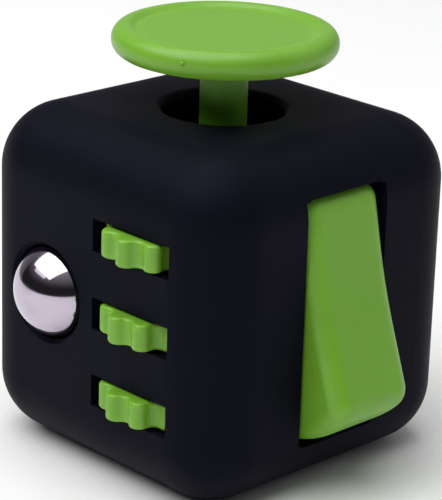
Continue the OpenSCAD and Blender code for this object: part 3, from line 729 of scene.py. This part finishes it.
class CUBE_OT_disc(bpy.types.Operator):
    """Build the thumb disc on its stick"""

    bl_idname = "fidget_cube.disc"
    bl_label = "Thumb disc"

    def execute(self, context):
        size = context.scene.cube_disc
        low, high = node_box("thumb_disc")
        radius, top = high[0], high[2]
        bottom = top - size.thickness
        floor = top - size.recess_depth
        profile = rounded_path([
            (0, size.foot, 0), (size.stick_radius, size.foot, 0.2 * MM),
            (size.stick_radius, bottom, 0.7 * MM), (radius, bottom, size.rim_radius),
            (radius, top, size.rim_radius), (size.recess_radius + 0.45 * MM, top, 0.9 * MM),
            (size.recess_radius - 0.15 * MM, floor, 0.5 * MM), (0, floor, 0),
        ])
        body = lathe(profile, 256)
        nub_height = (top + bottom) / 2 + size.nub_rise
        extras = [*self.tongue(size, low[2]), self.nub(size, radius, nub_height)]
        wear = [sharpness(profile), *[np.zeros(len(grid[0])) for grid in extras]]
        piece = surface("thumb_disc_look", [(body, False, True), *extras], wear)
        finish_piece(piece, "thumb_disc", "green_plastic")
        return {"FINISHED"}

    def nub(self, size, radius, height):
        """The moulding's tiny gate mark: a ball half sunk in the rim."""
        place = radius * math.cos(size.nub_turn), radius * math.sin(size.nub_turn), height
        return ball(size.nub_radius, 12, 24) + place, False, True

    def tongue(self, size, low):
        """The flat tongue under the stick: a half-round outline carried across its thickness."""
        half_width, half_thick = size.tongue_width / 2, size.tongue_thickness / 2
        centre = low + half_width
        outline = np.concatenate([
            [(half_width, size.foot)], arc((0, centre), half_width, 0, -180, 24), [(-half_width, size.foot)],
        ])
        across = np.array([-half_thick, half_thick])
        level = 0 * outline[:, None, 0]
        wall = np.stack([
            outline[:, None, 0] + 0 * across, across + level, outline[:, None, 1] + 0 * across,
        ], -1)
        middle = np.stack([0 * across, across, centre + 0 * across], -1)[None]
        ends = [np.stack([wall[:, k], np.broadcast_to(middle[:, k], wall[:, k].shape)], 1) for k in (0, 1)]
        return [(wall, True, False), (ends[0], True, False), (ends[1], True, False)]


class CUBE_OT_gears(bpy.types.Operator):
    """Build the three lobed gears"""

    bl_idname = "fidget_cube.gears"
    bl_label = "Gears"

    def execute(self, context):
        size = context.scene.cube_gears
        for name, turn in zip(("gear_upper", "gear_middle", "gear_lower"), size.turns):
            low, high = node_box(name)
            centre = joint_place(name + "_spin")
            half_height = (high[2] - low[2]) / 2
            grid, wear = self.gear(size, self.tip_radius(name, centre), half_height, turn, centre)
            piece = surface(name + "_look", [(grid, True, True)], [wear])
            finish_piece(piece, name, "green_plastic")
        return {"FINISHED"}

    def tip_radius(self, name, centre):
        """The largest distance of the node's mesh from the gear's axis."""
        mesh = frame["nodes"][name].data
        points = np.empty(len(mesh.vertices) * 3, np.float32)
        mesh.vertices.foreach_get("co", points)
        points = points.reshape(-1, 3)
        return float(np.hypot(points[:, 0] - centre[0], points[:, 1] - centre[1]).max())

    def gear(self, size, tip, half_height, turn, centre):
        """A lobed outline carried round a closed cross-section.

        The outline follows a lobe circle out from the middle of each lobe, and the far side of a
        hollow circle between lobes. The two circles touch, so the outline flows from one into the
        other. The cross-section runs up the bore, over the top face, round its rim, down and back.
        """
        steps = 40 * size.lobes
        angle = np.arange(steps) * TURN / steps
        pitch = TURN / size.lobes
        off = (angle - turn - TURN / 4 + pitch / 2) % pitch - pitch / 2
        arm, lobe_radius, floor = tip - size.lobe_radius, size.lobe_radius, tip - size.drop
        along = arm * math.cos(pitch / 2)
        hollow = arm ** 2 + floor * (floor - 2 * along) - lobe_radius ** 2
        hollow /= 2 * (lobe_radius - floor + along)
        hollow_arm = floor + hollow
        lobe = arm * np.cos(off) + np.sqrt(np.maximum(lobe_radius ** 2 - (arm * np.sin(off)) ** 2, 0))
        back = pitch / 2 - np.abs(off)
        far_side = np.sqrt(np.maximum(hollow ** 2 - (hollow_arm * np.sin(back)) ** 2, 0))
        valley = hollow_arm * np.cos(back) - far_side
        share = lobe_radius / (lobe_radius + hollow)
        meeting = math.atan2(
            share * hollow_arm * math.sin(pitch / 2), arm + share * (hollow_arm * math.cos(pitch / 2) - arm)
        )
        outline = np.where(np.abs(off) < meeting, lobe, valley)
        e = size.edge
        corner = arc((0, 0), 1.0, 90, 0, 6)
        face = [(t, e, half_height) for t in np.linspace(0.0, 1.0, 10)[:-1]]
        rim = [(1.0, e * (1 - x), half_height - e * (1 - y)) for x, y in corner]
        side = [(1.0, 0.0, z) for z in np.linspace(half_height - e, 0, 4)[1:]]
        upper = np.array(face + rim + side)
        lower = upper[::-1][1:] * (1, 1, -1)
        section = np.concatenate([upper, lower])
        t, inset, z = (section[:, k, None] for k in range(3))
        radius = size.bore + t * (outline - inset - size.bore)
        grid = centre + np.stack([radius * np.cos(angle), radius * np.sin(angle), z + 0 * radius], -1)
        on_rim = (section[:, 0] == 1.0) & (np.abs(section[:, 2]) > half_height - e * 1.01)
        return grid, on_rim.astype(float)


class CUBE_OT_ball(bpy.types.Operator):
    """Build the chrome roller ball"""

    bl_idname = "fidget_cube.ball"
    bl_label = "Roller ball"

    def execute(self, context):
        low, high = node_box("roller_ball")
        centre, radius = (low + high) / 2, (high[2] - low[2]) / 2
        piece = surface("roller_ball_look", [(ball(radius, 72, 128) + centre, False, True)])
        finish_piece(piece, "roller_ball", "chrome_ball")
        return {"FINISHED"}


# Points of the rocker's side outline over one round end, and on round its nose
OVER_STATIONS = 17
NOSE_STATIONS = 13


class CUBE_OT_rocker(bpy.types.Operator):
    """Build the rocker switch"""

    bl_idname = "fidget_cube.rocker"
    bl_label = "Rocker"

    def execute(self, context):
        size = context.scene.cube_rocker
        grid, wear = self.rocker(size)
        piece = surface("rocker_look", [(grid, False, True)], [wear])
        finish_piece(piece, "rocker", "green_plastic")
        return {"FINISHED"}

    def end(self, size, kick, bend):
        """One end of the side outline, from the back round to where its nose meets the front.

        Returns points (along, out) and outward normals, with along measured away from the pin, and
        the front's slope: the front is the line from the bend that touches the nose.
        """
        nose_out = size.reach + kick - size.nose
        nose_along = math.sqrt((size.end_radius - size.nose) ** 2 - nose_out ** 2)
        run, rise = nose_along - bend, nose_out - size.reach
        slope = math.atan2(rise, run) + math.asin(size.nose / math.hypot(run, rise))
        meeting = math.atan2(nose_out, nose_along)
        over = np.linspace(-math.asin(size.back / size.end_radius), meeting, OVER_STATIONS)
        nose = np.linspace(meeting, math.pi / 2 + slope, NOSE_STATIONS)[1:]
        angle = np.concatenate([over, nose])
        normal = np.stack([np.cos(angle), np.sin(angle)], -1)
        points = np.concatenate([
            size.end_radius * normal[:OVER_STATIONS],
            np.array([nose_along, nose_out]) + size.nose * normal[OVER_STATIONS:],
        ])
        return points, normal, slope

    def outline(self, size):
        """Side outline as points (up, out) with outward normals.

        The upper end, the front with a soft bend (a quadratic curve between two points an equal
        distance from the bend's corner), and the lower end, which reaches further out.
        """
        upper, upper_normal, _ = self.end(size, 0, size.bend)
        lower, lower_normal, slope = self.end(size, size.kick, -size.bend)
        flip = np.array([-1, 1])
        corner = np.array([size.bend, size.reach])
        first = corner + np.array([size.softness, 0])
        last = corner + size.softness * np.array([-math.cos(slope), math.sin(slope)])
        t = np.linspace(0, 1, 12)[:, None]
        curve = (1 - t) ** 2 * first + 2 * t * (1 - t) * corner + t ** 2 * last
        heading = (1 - t) * (corner - first) + t * (last - corner)
        heading /= np.linalg.norm(heading, axis=1, keepdims=True)
        curve_normal = np.stack([heading[:, 1], -heading[:, 0]], -1)
        above = upper[-1] + t[1:-1] * (first - upper[-1])
        below = last + t[1:-1] * (lower[-1] * flip - last)
        points = np.concatenate([upper, above, curve, below, (lower * flip)[::-1]])
        normals = np.concatenate([
            upper_normal, np.broadcast_to(upper_normal[-1], above.shape), curve_normal,
            np.broadcast_to(lower_normal[-1] * flip, below.shape), (lower_normal * flip)[::-1],
        ])
        return points, normals

    def rocker(self, size):
        """The side outline carried across the width, with round long edges and flat sides.

        From the middle out, share moves across the front, bend goes round the edge by a quarter
        circle that moves in from the outline, and fall goes down the flat side to the back, where
        the side is a little shorter. The other half is its mirror.
        """
        outline, normal = self.outline(size)
        quarter = np.radians(np.linspace(0, 90, 9))
        front = np.linspace(0, 1, 12)[:-1]
        side = np.linspace(0, 1, 7)[1:]
        back_length = 0.7
        share = np.concatenate([front, np.ones(len(quarter) + len(side))])
        bend = np.concatenate([np.zeros(len(front)), quarter, np.full(len(side), math.pi / 2)])
        fall = np.concatenate([np.zeros(len(front) + len(quarter)), side])
        inset = size.edge * (1 - np.cos(bend))
        point = outline[:, None] - normal[:, None] * inset[None, :, None]
        target = np.stack([outline[:, 0] * back_length, np.full(len(outline), -size.back)], -1)
        point = point + (target[:, None] - point) * fall[None, :, None]
        across = share * (size.half_width - size.edge) + size.edge * np.sin(bend)
        right = np.stack([across + 0 * point[..., 0], point[..., 0], point[..., 1]], -1)
        left = right * (-1, 1, 1)
        grid = np.concatenate([right[:, ::-1], left[:, 1:]], axis=1)
        wear_half = np.where((bend > 0) & (fall == 0), np.sin(2 * bend) ** 0.5, 0)
        wear = np.tile(np.concatenate([wear_half[::-1], wear_half[1:]]), (len(outline), 1))
        return self.lean(size, grid), wear

    def lean(self, size, grid):
        """Turns (across, up, out) about the pin by the lean, and places it."""
        c, s = math.cos(size.lean), math.sin(size.lean)
        across, up, out = grid[..., 0], grid[..., 1], grid[..., 2]
        turned = np.stack([out * c - up * s, across, up * c + out * s], -1)
        return joint_place("rocker_flip") + turned


class CUBE_OT_buttons(bpy.types.Operator):
    """Build the five click buttons"""

    bl_idname = "fidget_cube.buttons"
    bl_label = "Click buttons"

    def execute(self, context):
        size = context.scene.cube_buttons
        front, back, stem, corner = -2.05 * MM, -2.85 * MM, 1.2 * MM, 0.1 * MM
        for k in range(1, 6):
            name = f"button_{k}"
            low, high = node_box(name)
            place = np.array([-(low[0] + high[0]) / 2, (low[2] + high[2]) / 2 - CASE_MIDDLE[2], 0])
            flange = (high[0] - low[0]) / 2
            inner = low[1] - CASE_MIDDLE[1] - CASE_HALF
            rim = math.degrees(math.acos(size.radius / size.dome))
            dome = arc((0, size.proud - size.dome), size.dome, 90, rim, 20)
            side = rounded_path([
                (*dome[-2], 0), (*dome[-1], 0.22 * MM), (size.radius, front, 0),
                (flange, front, corner), (flange, back, corner),
                (stem, back, 0), (stem, inner, corner), (0, inner, 0),
            ])
            profile = np.concatenate([dome[:-2], side])
            profile[0, 0] = 0
            points = on_face("back", lathe(profile, 96) + place)
            piece = surface(name + "_look", [(points, False, True)], [sharpness(profile)])
            finish_piece(piece, name, "green_plastic")
        return {"FINISHED"}


class CUBE_OT_dial(bpy.types.Operator):
    """Build the spin dial"""

    bl_idname = "fidget_cube.dial"
    bl_label = "Spin dial"

    def execute(self, context):
        size = context.scene.cube_dial
        _, high = node_box("spin_dial")
        inner = -(high[0] + CASE_HALF)
        back, shaft, dimple_depth = -1.5 * MM, 1.5 * MM, 1.02 * MM
        profile = rounded_path([
            (0, size.proud, 0), (size.radius, size.proud, 0.35 * MM), (size.radius, back, 0.15 * MM),
            (shaft, back, 0.1 * MM), (shaft, inner, 0.15 * MM), (0, inner, 0),
        ], reach=0.16 * MM)
        points = lathe(profile, size.notches * 10)
        self.notch(size, points)
        away = np.hypot(points[..., 0], points[..., 1] - size.dimple_place)
        hollow = np.clip(1 - (away / size.dimple_radius) ** 2, 0, 1) ** 1.15 * dimple_depth
        on_front = points[..., 2] > size.proud - 0.05 * MM
        points[..., 2] -= np.where(on_front, hollow, 0)
        piece = surface("spin_dial_look", [(on_face("left", points), False, True)], [sharpness(profile)])
        finish_piece(piece, "spin_dial", "green_plastic")
        return {"FINISHED"}

    def notch(self, size, points):
        """Moves the rim of the front inward at each notch.

        From a notch's middle its depth falls off as (1 - (distance / half width) ^ 2) ^ 1.5. It
        starts 0.1 mm above the face, and ends 0.9 mm in from the rim.
        """
        deepest, half_width, low, fade, margin = 0.25 * MM, 0.42 * MM, 0.1 * MM, 0.2 * MM, 0.9 * MM
        angle = np.arctan2(points[..., 1], points[..., 0])
        radius = np.hypot(points[..., 0], points[..., 1])
        pitch = TURN / size.notches
        off = ((angle + pitch / 2) % pitch - pitch / 2) * size.radius
        cut = np.clip(1 - (off / half_width) ** 2, 0, 1) ** 1.5
        risen = np.clip((points[..., 2] - low) / fade, 0, 1)
        near_rim = np.clip((radius - size.radius + margin) / margin, 0, 1)
        depth = deepest * cut * risen * near_rim
        points[..., :2] *= np.where(radius > 0, 1 - depth / np.maximum(radius, MERGE_DISTANCE), 1)[..., None]


# Name, place, edge length in metres and power in watts of each square lamp
LAMPS = (
    ("key", (-0.09, -0.20, 0.70), 0.95, 7.0),
    ("side", (-0.25, -0.55, 0.73), 0.6, 1.2),
)


class CUBE_OT_stage(bpy.types.Operator):
    """Set the camera, floor and light"""

    bl_idname = "fidget_cube.stage"
    bl_label = "Stage"

    def execute(self, context):
        settings = context.scene.cube_stage
        self.camera(context, settings)
        self.floor(settings)
        self.lights()
        context.scene.view_settings.view_transform = "Standard"
        return {"FINISHED"}

    def camera(self, context, settings):
        """A camera whose back points along the azimuth and elevation, rolled about it."""
        az, el = settings.azimuth, settings.elevation
        back = Vector((math.sin(az) * math.cos(el), -math.cos(az) * math.cos(el), math.sin(el)))
        level = Vector((0, 0, 1)).cross(back).normalized()
        upright = back.cross(level)
        c, s = math.cos(settings.roll), math.sin(settings.roll)
        right, up = level * c + upright * s, upright * c - level * s
        data = bpy.data.cameras.new("camera")
        data.lens = settings.lens
        data.sensor_width = 36.0
        data.clip_start, data.clip_end = 0.01, 10.0
        camera = bpy.data.objects.new("camera", data)
        context.scene.collection.objects.link(camera)
        turn = Matrix((right, up, back)).transposed()
        camera.matrix_world = Matrix.Translation(settings.place) @ turn.to_4x4()
        context.scene.camera = camera

    def floor(self, settings):
        """A wide pale floor, a hair under the cube, that curves up far behind."""
        reach, wall, curve = 1.5, 1.5, 0.6
        top = -0.02 * MM
        back = rounded_path([(-reach, 0, 0), (reach, 0, curve), (reach, wall, 0)], steps=24, reach=0.2)
        across = np.linspace(-2 * reach, 2 * reach, 9)
        diagonal = math.sqrt(0.5)
        grid = np.stack([
            -diagonal * back[:, None, 0] + diagonal * across,
            diagonal * back[:, None, 0] + diagonal * across,
            back[:, None, 1] + top + 0 * across,
        ], -1)
        floor = surface("floor", [(grid, False, False)])
        material, tree, shader, place = new_material("floor")
        mottle = noise(tree, place, 25.0, 3.0, 0.5)
        tint = mix_colour(
            tree, mottle, shade(settings.floor_colour, 0.985), shade(settings.floor_colour, 1.015)
        )
        feed(tree, shader, base_color=tint, roughness=maths(tree, "MULTIPLY_ADD", mottle, 0.1, 0.55))
        floor.data.materials.append(material)

    def lights(self):
        """A large soft box overhead, a smaller one further left and further forward, and a room.

        The room is white to the camera. In reflections it is dim in front of the cube, brighter
        overhead and brightest at the wall behind it.
        """
        target = Vector((0, 0, 18 * MM))
        for name, place, size, power in LAMPS:
            data = bpy.data.lights.new(name, "AREA")
            data.shape = "SQUARE"
            data.size = size
            data.energy = power
            lamp = bpy.data.objects.new(name, data)
            bpy.context.scene.collection.objects.link(lamp)
            aim = target - Vector(place)
            lamp.matrix_world = Matrix.Translation(place) @ aim.to_track_quat("-Z", "Y").to_matrix().to_4x4()
        world = bpy.data.worlds.new("room")
        world.use_nodes = True
        tree = world.node_tree
        seen = node(tree, "ShaderNodeLightPath").outputs["Is Camera Ray"]
        direction = node(tree, "ShaderNodeTexCoord").outputs["Generated"]
        apart = node(tree, "ShaderNodeSeparateXYZ", {"Vector": direction}).outputs
        overhead = remap(tree, apart["Z"], 0.25, 0.9, 0.02, 0.3)
        glow = maths(tree, "ADD", overhead, remap(tree, apart["Y"], 0.3, 0.8, 0.0, 0.6))
        unseen = maths(tree, "SUBTRACT", 1.0, seen)
        strength = maths(tree, "MULTIPLY_ADD", unseen, glow, seen)
        background = tree.nodes["Background"]
        background.inputs["Color"].default_value = (1, 1, 1, 1)
        tree.links.new(strength, background.inputs["Strength"])
        bpy.context.scene.world = world


class CUBE_PT_panel(bpy.types.Panel):
    """Lists the builder's steps"""

    bl_idname = "CUBE_PT_panel"
    bl_label = "Fidget Cube"
    bl_space_type = "VIEW_3D"
    bl_region_type = "UI"
    bl_category = "Fidget Cube"

    def draw(self, context):
        for step in STEPS:
            self.layout.operator(step.bl_idname)


SETTINGS = {
    "cube_case": CubeCaseSettings,
    "cube_disc": CubeDiscSettings,
    "cube_gears": CubeGearSettings,
    "cube_rocker": CubeRockerSettings,
    "cube_buttons": CubeButtonSettings,
    "cube_dial": CubeDialSettings,
    "cube_stage": CubeStageSettings,
}
STEPS = (
    CUBE_OT_finishes, CUBE_OT_disc, CUBE_OT_gears, CUBE_OT_ball, CUBE_OT_rocker,
    CUBE_OT_buttons, CUBE_OT_dial, CUBE_OT_stage,
)


def register():
    """Registers the settings, the steps and the panel."""
    for name, group in SETTINGS.items():
        bpy.utils.register_class(group)
        setattr(bpy.types.Scene, name, PointerProperty(type=group))
    for step in (*STEPS, CUBE_PT_panel):
        bpy.utils.register_class(step)


def unregister():
    """Takes the panel, the steps and the settings away again."""
    for step in (CUBE_PT_panel, *reversed(STEPS)):
        bpy.utils.unregister_class(step)
    for name, group in reversed(SETTINGS.items()):
        delattr(bpy.types.Scene, name)
        bpy.utils.unregister_class(group)


def main():
    """Registers the add-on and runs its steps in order."""
    register()
    for step in STEPS:
        area, name = step.bl_idname.split(".")
        getattr(getattr(bpy.ops, area), name)()


if __name__ == "__main__":
    main()
